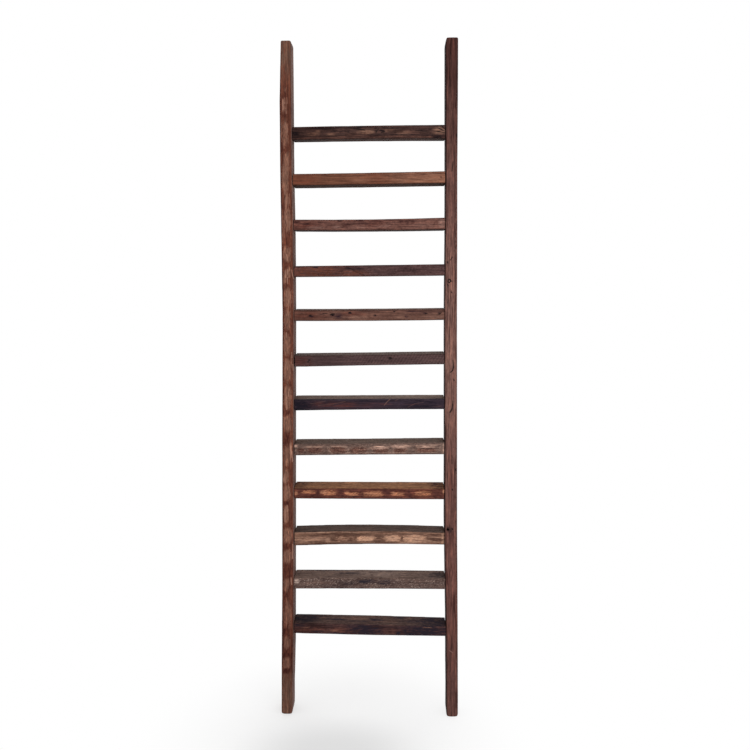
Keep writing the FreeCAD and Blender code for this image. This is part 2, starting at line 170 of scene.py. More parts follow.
BOARDS["rung_01"] = Board(
    Colours((74, 51, 50), (40, 32, 41), (164, 124, 104), (98, 62, 54), (84, 65, 60)),
    Look(grain=1, light=0.8, hair=0.7, mottle=0.9, rubbed=1),
    dark=[
        (0.46, 0.5, 90, 30, 0.8), (0.53, 0.3, 60, 20, 0.6), (0.16, 0.2, 30, 8, 0.8),
        (0.69, 0.2, 12, 12, 0.9), (0.86, 0.45, 130, 34, 0.95), (0.3, 0.1, 60, 6, 0.6),
        (0.02, 0.8, 50, 12, 0.7),
    ],
    pale=[(0.883, 0.87, 30, 3.6, 1), (0.27, 0.35, 30, 3, 0.4), (0.08, 0.6, 20, 3, 0.4)],
    warm=[
        (0.06, 0.4, 60, 18, 0.7), (0.16, 0.45, 60, 14, 0.6), (0.33, 0.4, 70, 16, 0.8),
        (0.62, 0.4, 70, 16, 0.4),
    ],
    top_dark=[
        (0.06, 0.6, 80, 50, 0.9), (0.93, 0.5, 100, 70, 1), (0.275, 0.45, 66, 9, 1),
        (0.17, 0.75, 50, 6, 0.8), (0.54, 0.5, 40, 14, 0.6), (0.7, 0.75, 40, 10, 0.7),
        (0.42, 0.3, 60, 8, 0.5), (0.8, 0.4, 80, 14, 0.6),
    ],
    top_pale=[(0.4, 0.6, 70, 12, 0.2), (0.62, 0.35, 60, 10, 0.15)],
    dim=[(0.04, 0.5, 120, 60, 0.55)],
)
BOARDS["rung_02"] = Board(
    Colours((98, 79, 73), (46, 40, 46), (190, 168, 156), (108, 78, 68), (110, 91, 83)),
    Look(hair=0.5, mottle=1, fleck=0.7, rubbed=1),
    dark=[
        (0.483, 0.72, 44, 11, 1), (0.6, 0.62, 38, 12, 0.6), (0.64, 0.75, 34, 12, 0.3),
        (0.36, 0.5, 40, 10, 0.3),
    ],
    pale=[(0.02, 0.7, 13, 11, 1)],
    top_dark=[
        (0.345, 0.55, 64, 7, 1), (0.2, 0.85, 110, 8, 0.4), (0.62, 0.75, 40, 8, 0.3),
        (0.95, 0.4, 50, 30, 0.6),
    ],
    top_pale=[(0.55, 0.5, 140, 34, 0.2)],
)
BOARDS["rung_03"] = Board(
    Colours(
        (134, 102, 86), (84, 58, 48), (188, 150, 128), (158, 116, 92), (86, 70, 63),
        hollow=(190, 150, 126), rim=(108, 76, 62),
    ),
    Look(grain=0.9, light=0.6, hair=0.5, mottle=0.7, rubbed=1, stroke=0.3),
    dark=[
        (0.3, 0.8, 160, 5, 0.8), (0.44, 0.78, 90, 5, 0.7), (0.14, 0.2, 54, 7, 0.7),
        (0.262, 0.45, 14, 14, 0.3), (0.572, 0.4, 34, 20, 0.6), (0.718, 0.45, 5, 14, 0.7),
        (0.9, 0.8, 60, 6, 0.7), (0.94, 0.4, 44, 10, 0.7), (0.33, 0.08, 260, 4, 0.6),
        (0.41, 0.45, 8, 14, 0.6), (0.1, 0.7, 60, 4, 0.6), (0.62, 0.85, 90, 4, 0.6),
    ],
    pale=[
        (0.1, 0.45, 90, 16, 0.5), (0.225, 0.36, 14, 11, 0.9), (0.985, 0.5, 6, 30, 0.7),
        (0.8, 0.1, 90, 7, 0.9), (0.865, 0.16, 60, 10, 0.9), (0.22, 0.95, 200, 3, 0.7),
        (0.93, 0.62, 50, 3, 0.7), (0.06, 0.3, 40, 5, 0.6),
    ],
    hollow=[
        (0.319, 0.42, 48, 15, 0.75), (0.477, 0.42, 66, 15, 0.95), (0.651, 0.45, 50, 19, 1),
        (0.8, 0.46, 76, 22, 1), (0.522, 0.48, 34, 6, 0.8), (0.866, 0.32, 50, 8, 0.8),
    ],
    dim=[(0.1, 0.5, 180, 60, 0.3)],
)
BOARDS["rung_04"] = Board(
    Colours(
        (98, 58, 50), (58, 33, 34), (204, 146, 114), (122, 74, 60), (145, 104, 75),
        hollow=(172, 118, 90), rim=(112, 65, 51),
    ),
    Look(grain=0.8, light=0.6, hair=0.5, mottle=1, rubbed=1),
    dark=[
        (0.16, 0.5, 12, 30, 0.45), (0.31, 0.5, 18, 30, 0.5), (0.455, 0.5, 10, 26, 0.4),
        (0.61, 0.5, 18, 28, 0.45), (0.77, 0.5, 14, 28, 0.35), (0.96, 0.4, 30, 26, 0.3),
        (0.5, 0.04, 480, 4, 0.5), (0.38, 0.2, 40, 5, 0.6),
    ],
    pale=[
        (0.995, 0.75, 6, 12, 1), (0.015, 0.55, 8, 10, 0.8), (0.195, 0.62, 16, 8, 0.8),
        (0.355, 0.6, 14, 6, 0.7), (0.495, 0.55, 24, 6, 0.6), (0.66, 0.6, 14, 6, 0.6),
        (0.84, 0.6, 24, 8, 0.6),
    ],
    warm=[(0.012, 0.5, 14, 22, 1), (0.82, 0.5, 200, 60, 0.35), (0.5, 0.14, 480, 5, 0.3)],
    hollow=[
        (0.097, 0.64, 44, 12, 0.9), (0.231, 0.58, 50, 16, 1), (0.387, 0.5, 42, 13, 0.9),
        (0.527, 0.5, 66, 17, 1), (0.691, 0.5, 40, 14, 0.9), (0.856, 0.56, 50, 15, 1),
    ],
    top_dark=[(0.03, 0.5, 40, 60, 0.4), (0.97, 0.5, 60, 60, 0.6), (0.4, 0.8, 200, 8, 0.2)],
    dim=[(0.1, 0.5, 160, 60, 0.25)],
)
BOARDS["rung_05"] = Board(
    Colours(
        (115, 94, 86), (70, 52, 48), (214, 176, 158), (112, 74, 64), (101, 84, 75),
        hollow=(104, 74, 65), rim=(142, 116, 104),
    ),
    Look(grain=0.5, light=0.5, hair=0.5, mottle=0.9, fleck=0.35, rubbed=1, over=8, stroke=0.35),
    dark=[
        (0.5, 0.04, 480, 3, 0.4), (0.88, 0.53, 52, 2.6, 0.8), (0.43, 0.62, 60, 2.6, 0.5),
        (0.29, 0.6, 46, 2.6, 0.4),
    ],
    pale=[
        (0.013, 0.85, 8, 6, 1), (0.13, 0.74, 46, 2.6, 0.6), (0.29, 0.8, 44, 3.4, 0.4),
        (0.57, 0.66, 46, 8, 1), (0.708, 0.72, 48, 9, 1), (0.868, 0.66, 42, 5, 1),
        (0.992, 0.6, 4, 30, 0.7), (0.9, 0.82, 50, 4, 0.4),
    ],
    hollow=[
        (0.045, 0.44, 24, 16, 0.95), (0.137, 0.47, 46, 18, 1), (0.295, 0.45, 52, 22, 0.95),
        (0.43, 0.43, 58, 20, 0.9), (0.578, 0.36, 48, 14, 1), (0.708, 0.38, 46, 13, 0.95),
        (0.88, 0.4, 62, 16, 1),
    ],
    dim=[(0.1, 0.5, 160, 60, 0.3)],
    thin_scratches=[
        (-69, 800, -59, 792, 2.8), (-59, 792, -67, 780, 2.8), (-123, 799.5, -115, 794.5, 2.6),
        (-120, 789.5, -108.5, 780, 2.6),
    ],
)
BOARDS["rung_06"] = Board(
    Colours((57, 46, 56), (33, 28, 38), (150, 112, 98), (94, 55, 53), (118, 100, 91)),
    Look(grain=0.5, light=0.5, hair=0.5, rubbed=1, over=12),
    dark=[(0.04, 0.5, 70, 40, 1), (0.5, 0.85, 120, 6, 0.6), (0.86, 0.5, 90, 30, 0.5)],
    pale=[(0.95, 0.3, 20, 3, 0.35)],
    warm=[
        (0.26, 0.5, 240, 20, 0.35), (0.22, 0.62, 90, 3, 0.9), (0.28, 0.42, 80, 3, 1),
        (0.33, 0.6, 70, 3, 1), (0.36, 0.35, 110, 3, 0.7), (0.14, 0.6, 50, 3, 0.6),
        (0.6, 0.55, 40, 3, 0.5), (0.8, 0.5, 60, 3, 0.5),
    ],
    dim=[(0.12, 0.5, 200, 60, 0.35)],
    mild_scratches=[(45, 923.5, 51.5, 931.5, 2.2), (51.5, 931.5, 62, 942, 2.4)],
    thin_scratches=[
        (77, 937, 87, 942.5, 2.2), (87, 942.5, 99, 944.5, 2), (115, 918.5, 135, 928.5, 2.4),
        (135, 928.5, 161, 933.5, 2.4), (-173, 927, -129.5, 935, 2.4),
        (-149.5, 922.5, -105, 926.5, 2.4), (-105, 926.5, -69.5, 935, 2.4),
    ],
)
BOARDS["rung_07"] = Board(
    Colours((88, 68, 68), (46, 31, 35), (118, 98, 96), (96, 56, 50), (98, 82, 76)),
    Look(grain=0.35, light=0.3, mottle=0.5, saw=1),
    dark=[
        (0, 0.5, 5, 40, 1), (0.094, 0.45, 5, 4, 1), (0.638, 0.62, 9, 7, 1), (0.35, 0.8, 60, 6, 0.4),
        (0.585, 0.15, 12, 4, 0.6),
    ],
    pale=[(0.05, 0.08, 24, 2.6, 0.6)],
    warm=[(0.035, 0.5, 60, 40, 0.6), (0.09, 0.2, 30, 8, 0.5)],
    dim=[(0.1, 0.5, 160, 60, 0.4)],
    cracks=[(-177.5, 1056, -175.5, 1056.5, 4.6), (60.5, 1064.5, 66, 1062.5, 4.6)],
)
BOARDS["rung_08"] = Board(
    Colours((110, 78, 68), (46, 28, 36), (144, 108, 94), (108, 66, 55), (100, 76, 66)),
    Look(light=0.5, hair=0.5, mottle=0.6),
    dark=[
        (0.115, 0.45, 12, 4.5, 1), (0.187, 0.64, 14, 2.6, 0.9), (0.262, 0.56, 12, 6, 1),
        (0.295, 0.46, 22, 15, 0.5), (0.374, 0.74, 9, 5, 1), (0.538, 0.47, 8, 5, 0.9),
        (0.664, 0.84, 5, 3.4, 0.9), (0.748, 0.42, 10, 11, 0.6), (0.79, 0.86, 44, 4, 0.5),
        (0.871, 0.66, 10, 5, 0.9), (0.963, 0.64, 7, 5, 0.8),
    ],
    pale=[
        (0.41, 0.3, 34, 10, 0.5), (0.93, 0.4, 60, 14, 0.3), (0.7, 0.3, 30, 8, 0.3),
        (0.47, 0.3, 20, 10, 0.3),
    ],
    warm=[(0.09, 0.5, 110, 30, 0.6), (0.39, 0.65, 60, 12, 0.7)],
    dim=[(0.05, 0.5, 90, 60, 0.3)],
    cracks=[
        (-176, 1188.5, -171, 1189, 3.6), (-136, 1195, -123.5, 1194.5, 2.8),
        (-112, 1192, -103, 1193.5, 4.6), (-58.5, 1197.5, -54, 1197, 3.6),
        (16, 1189.5, 20, 1189.5, 3.4), (73.5, 1201, 76.5, 1201, 3.2),
        (166, 1195, 171.5, 1195.5, 3.6), (206.5, 1193, 213, 1197.5, 3.6),
    ],
)
BOARDS["rung_09"] = Board(
    Colours((84, 61, 60), (48, 33, 36), (118, 94, 94), (99, 59, 48), (86, 62, 56)),
    Look(grain=0.5, mottle=0.8, fleck=0.45),
    dark=[(0.145, 0.88, 14, 4, 1), (0.38, 0.75, 80, 10, 0.6), (0.02, 0.9, 30, 5, 0.5)],
    warm=[(0.14, 0.5, 190, 60, 1), (0.35, 0.3, 110, 20, 0.9), (0.42, 0.1, 40, 8, 0.8)],
    faint_cracks=[(-69, 1333, -48.5, 1323.5, 2.6), (-48.5, 1323.5, -10, 1305, 3)],
)
BOARDS["rung_10"] = Board(
    Colours((120, 84, 75), (66, 38, 36), (152, 118, 108), (108, 62, 52), (94, 68, 60)),
    Look(grain=0.8, light=0.7, hair=0.6, mottle=0.9),
    dark=[
        (0.307, 0.9, 17, 5, 1), (0.44, 0.86, 66, 4, 0.8), (0.465, 0.62, 40, 4, 0.7),
        (0.54, 0.84, 44, 4, 0.6), (0.025, 0.75, 18, 6, 0.7), (0.08, 0.6, 24, 9, 0.7),
        (0.2, 0.7, 26, 5, 0.5), (0.245, 0.5, 16, 8, 0.5), (0.71, 0.68, 12, 12, 0.6),
        (0.75, 0.66, 12, 12, 0.6), (0.79, 0.7, 12, 10, 0.5), (0.62, 0.86, 40, 4, 0.5),
        (0.355, 0.5, 20, 8, 0.4),
    ],
    pale=[
        (0.978, 0.55, 17, 22, 0.8), (0.145, 0.22, 42, 8, 0.6), (0.285, 0.28, 22, 9, 0.6),
        (0.6, 0.35, 50, 6, 0.3), (0.42, 0.25, 40, 6, 0.3), (0.86, 0.4, 60, 12, 0.2),
    ],
    warm=[(0.06, 0.5, 80, 26, 0.5), (0.54, 0.6, 50, 20, 0.4)],
    dim=[(0.04, 0.5, 90, 60, 0.25), (0.12, 0.5, 200, 60, 0.3)],
)
BOARDS["rung_11"] = Board(
    Colours((122, 80, 62), (78, 48, 38), (152, 108, 88), (126, 72, 54), (104, 74, 62)),
    Look(light=0.5, mottle=0.35),
    dark=[
        (0.66, 0.72, 44, 5, 0.6), (0.72, 0.5, 40, 3, 0.5), (0.972, 0.5, 5, 4, 0.8),
        (0.3, 0.85, 200, 3, 0.4), (0.6, 0.85, 60, 4, 0.4), (0.2, 0.4, 60, 3, 0.4),
    ],
    pale=[(0.87, 0.55, 200, 44, 0.6), (0.998, 0.5, 4, 26, 0.9), (0.46, 0.35, 50, 10, 0.35)],
    warm=[(0.06, 0.5, 90, 36, 0.6), (0.56, 0.5, 80, 30, 0.4)],
    dim=[(0.08, 0.5, 170, 60, 0.3)],
    faint_cracks=[(203, 1581.5, 204.5, 1581.5, 2.8)],
)
BOARDS["rung_12"] = Board(
    Colours((78, 56, 51), (36, 24, 26), (136, 102, 86), (98, 68, 59), (72, 56, 50)),
    Look(grain=0.9, light=0.7, hair=0.7, mottle=0.8, under=0.15),
    dark=[
        (0.59, 0.6, 13, 4.5, 1), (0.547, 0.75, 9, 14, 0.7), (0.405, 0.84, 66, 5, 0.8),
        (0.25, 0.85, 120, 6, 0.7), (0.368, 0.52, 6, 4, 0.8), (0.85, 0.6, 54, 6, 0.6),
        (0.965, 0.1, 44, 9, 1), (0.72, 0.27, 200, 2.6, 0.8), (0.44, 0.88, 16, 9, 0.8),
        (0.02, 0.4, 24, 30, 0.6), (0.3, 0.62, 60, 5, 0.6), (0.9, 0.25, 60, 5, 0.6),
        (0.66, 0.8, 60, 4, 0.6),
    ],
    pale=[
        (0.483, 0.5, 42, 10, 1), (0.465, 0.42, 24, 6, 0.6), (0.135, 0.42, 38, 10, 0.55),
        (0.167, 0.62, 14, 8, 0.6), (0.255, 0.38, 24, 7, 0.5), (0.73, 0.42, 34, 9, 0.4),
        (0.64, 0.62, 40, 6, 0.4), (0.95, 0.7, 22, 10, 0.7), (0.955, 0.42, 28, 9, 0.5),
    ],
    warm=[(0.757, 0.5, 50, 14, 0.5), (0.5, 0.12, 480, 8, 0.6), (0.42, 0.35, 50, 12, 0.6)],
    dim=[(0.06, 0.5, 150, 60, 0.7)],
    scratches=[
        (224, 1731, 205, 1742, 2.4), (222, 1728, 197, 1735, 2.4), (220, 1726, 198, 1724, 2.2),
    ],
    cracks=[
        (36.5, 1727, 46.5, 1729, 3.4), (20.5, 1726.5, 28, 1737, 2.6),
        (-42, 1737.5, -12.5, 1734, 2.8), (225, 1733, 214, 1745, 2.4), (224, 1729, 202, 1738.5, 2.2),
        (223, 1725, 196, 1729, 2.2),
    ],
    faint_cracks=[
        (-73, 1737.5, -55, 1734.5, 2.4), (136, 1731.5, 181.5, 1727, 2.4),
        (-130.5, 1735.5, -101, 1738, 2.4), (-68, 1728.5, -55, 1726.5, 2.4),
        (67.5, 1737, 106.5, 1735.5, 2.4),
    ],
)
RAILS = ("rail_left", "rail_right")

# A noise in the wood. Its grains' length and width are in mm; a slanted one leans as an adze's
# strokes do.
Noise = namedtuple(
    "Noise", "length width detail roughness distortion slanted", defaults=[2, 0.5, 0.0, False]
)
NOISES = {
    "zone": Noise(170, 15),
    "line": Noise(85, 5.6, detail=4, roughness=0.6, distortion=0.5),
    "hair": Noise(60, 2.5, detail=1),
    "streak": Noise(30, 3.4, detail=3, roughness=0.6),
    "blotch": Noise(13, 6, detail=4, roughness=0.65),
    "speck": Noise(7, 3.2),
    "fine": Noise(48, 1.2, detail=3, roughness=0.6),
    "pore": Noise(8, 0.5, detail=1),
    "stroke": Noise(16, 2.8, slanted=True),
    "fleck": Noise(8, 2.4, detail=1, slanted=True),
}
# How far the noises of one board lie from those of the next, along and across it, in mm
NOISE_STEP = (731.0, 97.0)
# How steeply slanted noises lean on a rail and on a rung
RAIL_LEAN, RUNG_LEAN = 0.12, 0.7

# What the wood's colour is multiplied by where it is darker or lighter
SHADE = (0.46, 0.39, 0.39)
SHINE = (1.9, 1.75, 1.6)
CRACK_BLACK = (0.010, 0.007, 0.007)
# The near black painted as shade inside nail holes
HOLE_SHADE_BLACK = (0.006, 0.004, 0.004)
# The share of the dark tint that the painted shade on undersides takes
UNDERSIDE_SHADE_SHARE = 0.4

# The steps of a noise between which a mark turns from gone to full
ZONES, ZONE_SHARE = (0.50, 0.66), 0.3
RAGGED = (0.36, 0.60)
SPOTTED = (0.34, 0.60)
FLECKS, FLECK_GAPS = (0.56, 0.64), (0.40, 0.60)
# An adze hollow: how far streaks and specks fray its edge, and the steps of the frayed edge
# and of the plain mark between which its inside and its dark rim appear
STREAK_FRAY, SPECK_FRAY = 1.6, 1.1
INSIDE_EDGE, INSIDE_MARK = (0.44, 0.56), (0.05, 0.20)
RIM_EDGE, RIM_MARK, RIM_SHARE = (0.15, 0.38), (0.02, 0.12), 0.6
STROKES = (0.53, 0.63)
# Saw marks: their pitch, their run along and across a rung, how unsteady they are, the steps of
# their waves and of the specks that break them, and where they fade in, in mm
SAW_PITCH, SAW_RUN, SAW_UNSTEADINESS = 8.0, (0.85, -0.53), 9.0
SAW_WAVE, SAW_GAPS, SAW_REACH = (0.1, 0.7), (0.35, 0.55), (-150, 20)
# Lines: how far the grain bends them and how far before the rails' middle they appear, in mm
LINE_BEND, LINE_DEPTHS = 5.0, (14, 18)

# A layer of the figure: its noise, the steps of the noise where it starts and is full, the
# strength in the board's look that it follows, its share of that, and whether it lightens the
# wood, which it does where the noise is low
Layer = namedtuple("Layer", "noise start full look share lightens", defaults=[False])
WEATHERING = {
    "dark blotches": Layer("blotch", 0.52, 0.66, "mottle", 0.7),
    "light blotches": Layer("blotch", 0.54, 0.68, "mottle", 0.4, lightens=True),
    "dark specks": Layer("speck", 0.56, 0.66, "mottle", 0.5),
    "light specks": Layer("speck", 0.56, 0.66, "mottle", 0.3, lightens=True),
}
GRAIN = {
    "dark grain": Layer("line", 0.51, 0.60, "grain", 0.8),
    "light grain": Layer("line", 0.53, 0.64, "light", 0.5, lightens=True),
    "dark hairs": Layer("hair", 0.57, 0.66, "hair", 0.8),
    "light hairs": Layer("hair", 0.58, 0.67, "light", 0.5, lightens=True),
    "fine lines": Layer("fine", 0.48, 0.66, None, 0.4),
    "pores": Layer("pore", 0.60, 0.72, None, 0.5),
}

# The size of a wave and of a bump of the raised grain, across and along a board
WAVES = (28 * MM, 120 * MM)
RAISED_GRAIN = (6 * MM, 34 * MM)

# A normal whose share towards a side is larger belongs to a face on that side. A flat part of
# the front has the last share.
FACING, FACING_UP, FLAT = 0.4, 0.5, 0.98
# Points that lie deeper than this behind the front face aren't on it
FRONT_SKIN = 3 * MM
# Slices along a board in which its edges and its face are found, and the percentile of the
# depths in a slice that counts as the face
SLICES, FACE_PERCENTILE = 60, 20
# How blunt an oval mark is, where 2 would be an ellipse, and where it ends, in half sizes
BLUNTNESS, MARK_END = 2.4, 1.5
# An old nail hole, whose inside is painted near black as shade: where it turns black, over which
# depth, how deep it ends and how far inside the face's edges it lies
HOLE_START, HOLE_FADE, HOLE_END, HOLE_INSET = 1.6 * MM, 1.2 * MM, 10 * MM, 2.2 * MM
# How steeply the flank's colour or an underside's painted shade sets in as the surface turns, and
# from where
RAIL_TURN, RUNG_TURN = (2.0, 0.4), (1.6, 0.5)
# How softly the front's wood ends on the flank, in mm
FLANK_FADE = 2

FLOOR_WIDTH = 40
# Two patches of the floor, in mm: the middle, how much each axis is stretched, and the
# distances where the pool of light starts to fade into white, or the soft shade to end
POOL = {"middle": (-100, -130), "stretch": (0.85, 1.0), "reach": (80, 500)}
SOFT_SHADE = {"middle": (-100, -220), "stretch": (0.85, 1.3), "reach": (60, 280)}
SHADE_DEPTH = 0.38

KEY_PLACE = (1.6, -2.8, 2.8)
KEY_WIDTH = 2.4
KEY_AIM = (0, 0, 1.0)
CAMERA_PLACE = (0.078, -2.1737, 1.3088)
CAMERA_DIP, CAMERA_TURN = 0.8, 1.6
SENSOR_WIDTH = 36
CAMERA_SHIFT = -0.12


def linear(colour):
    """An sRGB colour of 0 to 255 as the linear values that Blender's colour sockets hold."""
    shares = [channel / 255 for channel in colour]
    return [s / 12.92 if s < 0.04045 else ((s + 0.055) / 1.055) ** 2.4 for s in shares]


PLUG_BROWN, PLUG_RING, PLUG_PORE = linear((112, 76, 58)), linear((70, 44, 34)), linear((34, 22, 18))
ZINC_DULL, ZINC_BRIGHT = (0.5, 0.49, 0.46), (0.62, 0.6, 0.56)


def length_property(label, default, description, least=0.1):
    """A length whose default and least value are given in millimetres."""
    return FloatProperty(
        name=label, description=description, default=default * MM, min=least * MM, unit="LENGTH"
    )


class LadderSizes(bpy.types.PropertyGroup):
    """Sizes of the boards' surface."""

    rail_mesh: length_property("Rail mesh", 2.2, "Edge length of the rails' mesh", least=1.5)
    rung_mesh: length_property("Rung mesh", 1.6, "Edge length of the rungs' mesh", least=1.2)
    unevenness: length_property("Unevenness", 0.5, "Depth of the slow waves in a hand-dressed face")
    roughness: length_property("Roughness", 0.25, "Depth of the raised grain and small dents")
    # Width of the darker band that teak() lays along the arrises of the front and the back
    arris: length_property("Arris", 4, "Width of the darker wood along each worn arris")
    tenon: length_property("Tenon", 14, "Length of a rung that stands inside a rail")


class LadderColours(bpy.types.PropertyGroup):
    """Colours of each board: one for each part of its figure."""

    __annotations__ = {
        f"{name}_{part}": FloatVectorProperty(
            name=f"{name} {part}", description=f"Colour of the {part} wood of {name}",
            subtype="COLOR", default=linear(colour), min=0, max=1,
        )
        for name, board in BOARDS.items()
        for part, colour in board.colours._asdict().items()
        if colour
    }


class LadderStage(bpy.types.PropertyGroup):
    """The studio round the ladder."""

    floor: FloatVectorProperty(
        name="Floor", description="Colour of the floor", subtype="COLOR", default=[0.95] * 3,
    )
    surround: FloatProperty(name="Surround", description="Strength of the even light", default=0.86)
    key: FloatProperty(name="Key light", description="Power of the front light", default=22)
    lens: FloatProperty(name="Lens", description="Focal length", default=35, unit="CAMERA")


class Value:
    """A socket of a material that can stand in a sum: every operator adds a Math node."""

    def __init__(self, paint, socket):
        self.paint = paint
        self.socket = socket

    def math(self, operation, *others):
        inputs = dict(enumerate((self, *others)))
        return self.paint.node("ShaderNodeMath", {"operation": operation}, inputs)

    def __rsub__(self, other):
        return self.paint.node("ShaderNodeMath", {"operation": "SUBTRACT"}, {0: other, 1: self})

    __add__ = __radd__ = partialmethod(math, "ADD")
    __sub__ = partialmethod(math, "SUBTRACT")
    __mul__ = __rmul__ = partialmethod(math, "MULTIPLY")
    __truediv__ = partialmethod(math, "DIVIDE")
    at_most = partialmethod(math, "MINIMUM")
    at_least = partialmethod(math, "MAXIMUM")

    def between(self, low, high):
        """0 below low, 1 above high and a smooth step from one to the other."""
        return self.paint.node(
            "ShaderNodeMapRange", {"interpolation_type": "SMOOTHSTEP"},
            {"Value": self, "From Min": low, "From Max": high},
        )


class Paint:
    """The nodes of a material or of the world, made by one method."""

    # Shares of a line's width within which it is full and past which it is gone
    LINE_CORE, LINE_END = 0.2, 0.65

    def __init__(self, owner):
        owner.use_nodes = True
        self.tree = owner.node_tree
        self.shader = self.tree.nodes.get("Principled BSDF") or self.tree.nodes["Background"]

    def node(self, kind, settings=None, inputs=None, output=0):
        """A new node with these settings and inputs, as the value of one of its outputs."""
        node = self.tree.nodes.new(kind)
        for key, value in (settings or {}).items():
            setattr(node, key, value)
        for key, value in (inputs or {}).items():
            self.feed(node.inputs[key], value)
        return Value(self, node.outputs[output])

    def feed(self, socket, value):
        """Link a value to a socket, or set the socket to a number or colour."""
        if isinstance(value, Value):
            self.tree.links.new(value.socket, socket)
        else:
            socket.default_value = value

    def surface(self, **values):
        """Feed the shader's sockets, named with low lines for spaces."""
        for name, value in values.items():
            self.feed(self.shader.inputs[name.replace("_", " ")], value)

    def mix(self, factor, first, second, blend="MIX"):
        """The first colour where the factor is 0 and the second where it is 1."""
        colours = [c if isinstance(c, Value) else (*c, 1) for c in (first, second)]
        return self.node(
            "ShaderNodeMix", {"data_type": "RGBA", "blend_type": blend, "clamp_factor": True},
            {0: factor, 6: colours[0], 7: colours[1]}, output=2,
        )

    def bump(self, height, strength, distance):
        return self.node(
            "ShaderNodeBump", None, {"Strength": strength, "Distance": distance, "Height": height}
        )

    def attribute(self, name):
        return self.node("ShaderNodeAttribute", {"attribute_name": name}, output="Fac")

    def object_place(self):
        """The three coordinates of a point on the object, in millimetres."""
        place = self.node("ShaderNodeTexCoord", output="Object")
        parts = [
            self.node("ShaderNodeSeparateXYZ", inputs={0: place}, output=axis) for axis in range(3)
        ]
        return [part * (1 / MM) for part in parts]

    def noise(self, place, size, detail=2, roughness=0.5, distortion=0.0):
        """Noise from 0 to 1, whose grains have this size in millimetres along each coordinate."""
        stretched = [part / length for part, length in zip(place, size)]
        vector = self.node("ShaderNodeCombineXYZ", inputs=dict(enumerate(stretched)))
        return self.node(
            "ShaderNodeTexNoise", {"normalize": True},
            {"Vector": vector, "Scale": 1.0, "Detail": detail, "Roughness": roughness,
             "Distortion": distortion},
        )

    def line(self, place, start, end, width):
        """1 on a straight crack or scratch, drawn over the plane of two coordinates."""
        run = [last - first for first, last in zip(start, end)]
        off = [part - first for part, first in zip(place, start)]
        share = (off[0] * run[0] + off[1] * run[1]) / (run[0] ** 2 + run[1] ** 2)
        share = share.at_least(0).at_most(1)
        gaps = [part - share * step for part, step in zip(off, run)]
        squared = gaps[0] * gaps[0] + gaps[1] * gaps[1]
        return 1 - squared.between((self.LINE_CORE * width) ** 2, (self.LINE_END * width) ** 2)


class Wood:
    """One board's teak while it is painted: its places, its noises and its colour so far."""

    def __init__(self, name):
        self.board = BOARDS[name]
        self.look = self.board.look
        colours = bpy.context.scene.ladder_colours
        self.tint = {
            part: tuple(getattr(colours, f"{name}_{part}"))
            for part, colour in self.board.colours._asdict().items()
            if colour
        }
        self.material = bpy.data.materials.new(name)
        self.paint = Paint(self.material)
        self.x, self.y, self.z = self.paint.object_place()
        upright = name in RAILS
        self.along, self.across = (self.z, self.x) if upright else (self.x, self.z)
        lean = RAIL_LEAN if upright else RUNG_LEAN
        along_step, across_step = (step * list(BOARDS).index(name) for step in NOISE_STEP)
        self.place = [self.along + along_step, self.across + across_step, self.y]
        self.slanted = [
            self.place[0] + self.place[1] * lean, self.place[1] - self.along * lean, self.y
        ]
        self.made = {}
        self.ragged = self.noise("streak").between(*RAGGED) * 1.2 + 0.3
        self.colour = None

    def noise(self, kind):
        """One of the wood's noises, made when it is first asked for."""
        if kind not in self.made:
            noise = NOISES[kind]
            self.made[kind] = self.paint.noise(
                self.slanted if noise.slanted else self.place,
                (noise.length, noise.width, noise.width),
                noise.detail, noise.roughness, noise.distortion,
            )
        return self.made[kind]

    def patches(self, kind):
        """The marks of this kind, from 0 to 1, with edges that are ragged along the grain."""
        return (self.paint.attribute(kind) * self.ragged).at_most(1)

    def cover(self, amount, colour, blend="MIX"):
        self.colour = self.paint.mix(amount, self.colour, colour, blend)

    def darken(self, amount):
        self.cover(amount, SHADE, "MULTIPLY")

    def lighten(self, amount):
        self.cover(amount, SHINE, "MULTIPLY")

    def lay(self, layers):
        """Lay layers of the figure on the wood. Gives back where each of them lies."""
        covers = {}
        for name, layer in layers.items():
            noise = self.noise(layer.noise)
            covers[name] = (1 - noise if layer.lightens else noise).between(layer.start, layer.full)
            strength = getattr(self.look, layer.look) if layer.look else 1.0
            change = self.lighten if layer.lightens else self.darken
            change(covers[name] * (strength * layer.share))
        return covers


def ground(wood, flank):
    """The board's own colour, its dark zones, its flank's tone with its painted shade, and its warm
    patches.
    """
    zones = wood.noise("zone").between(*ZONES) * ZONE_SHARE
    wood.colour = wood.paint.mix(zones, wood.tint["body"], wood.tint["dark"])
    # The flank's colour is partly its own tone and partly painted shade
    wood.cover(flank, wood.tint["flank"])
    wood.cover(wood.patches("warm"), wood.tint["warm"])


def adze_hollows(wood):
    """Hollows with ragged edges and a dark rim, and the adze's strokes across them."""
    mark = wood.paint.attribute("hollow")
    streaks, specks, stroke = (wood.noise(kind) for kind in ("streak", "speck", "stroke"))
    frayed = mark + (streaks - 0.5) * STREAK_FRAY + (specks - 0.5) * SPECK_FRAY
    inside = frayed.between(*INSIDE_EDGE) * mark.between(*INSIDE_MARK)
    rim = frayed.between(*RIM_EDGE) * (1 - inside) * mark.between(*RIM_MARK)
    wood.cover(rim * RIM_SHARE, wood.tint["rim"])
    wood.cover(inside * (mark * 0.7 + 0.4).at_most(1), wood.tint["hollow"])
    wood.lighten(inside * stroke.between(*STROKES) * wood.look.stroke)
    wood.darken(inside * (1 - stroke).between(*STROKES) * wood.look.stroke)


def flecks(wood, flank):
    """Short pale flecks, on the front only."""
    fleck = wood.noise("fleck").between(*FLECKS) * (1 - flank)
    broken = fleck * wood.noise("streak").between(*FLECK_GAPS)
    wood.cover(broken * wood.look.fleck, wood.tint["pale"])


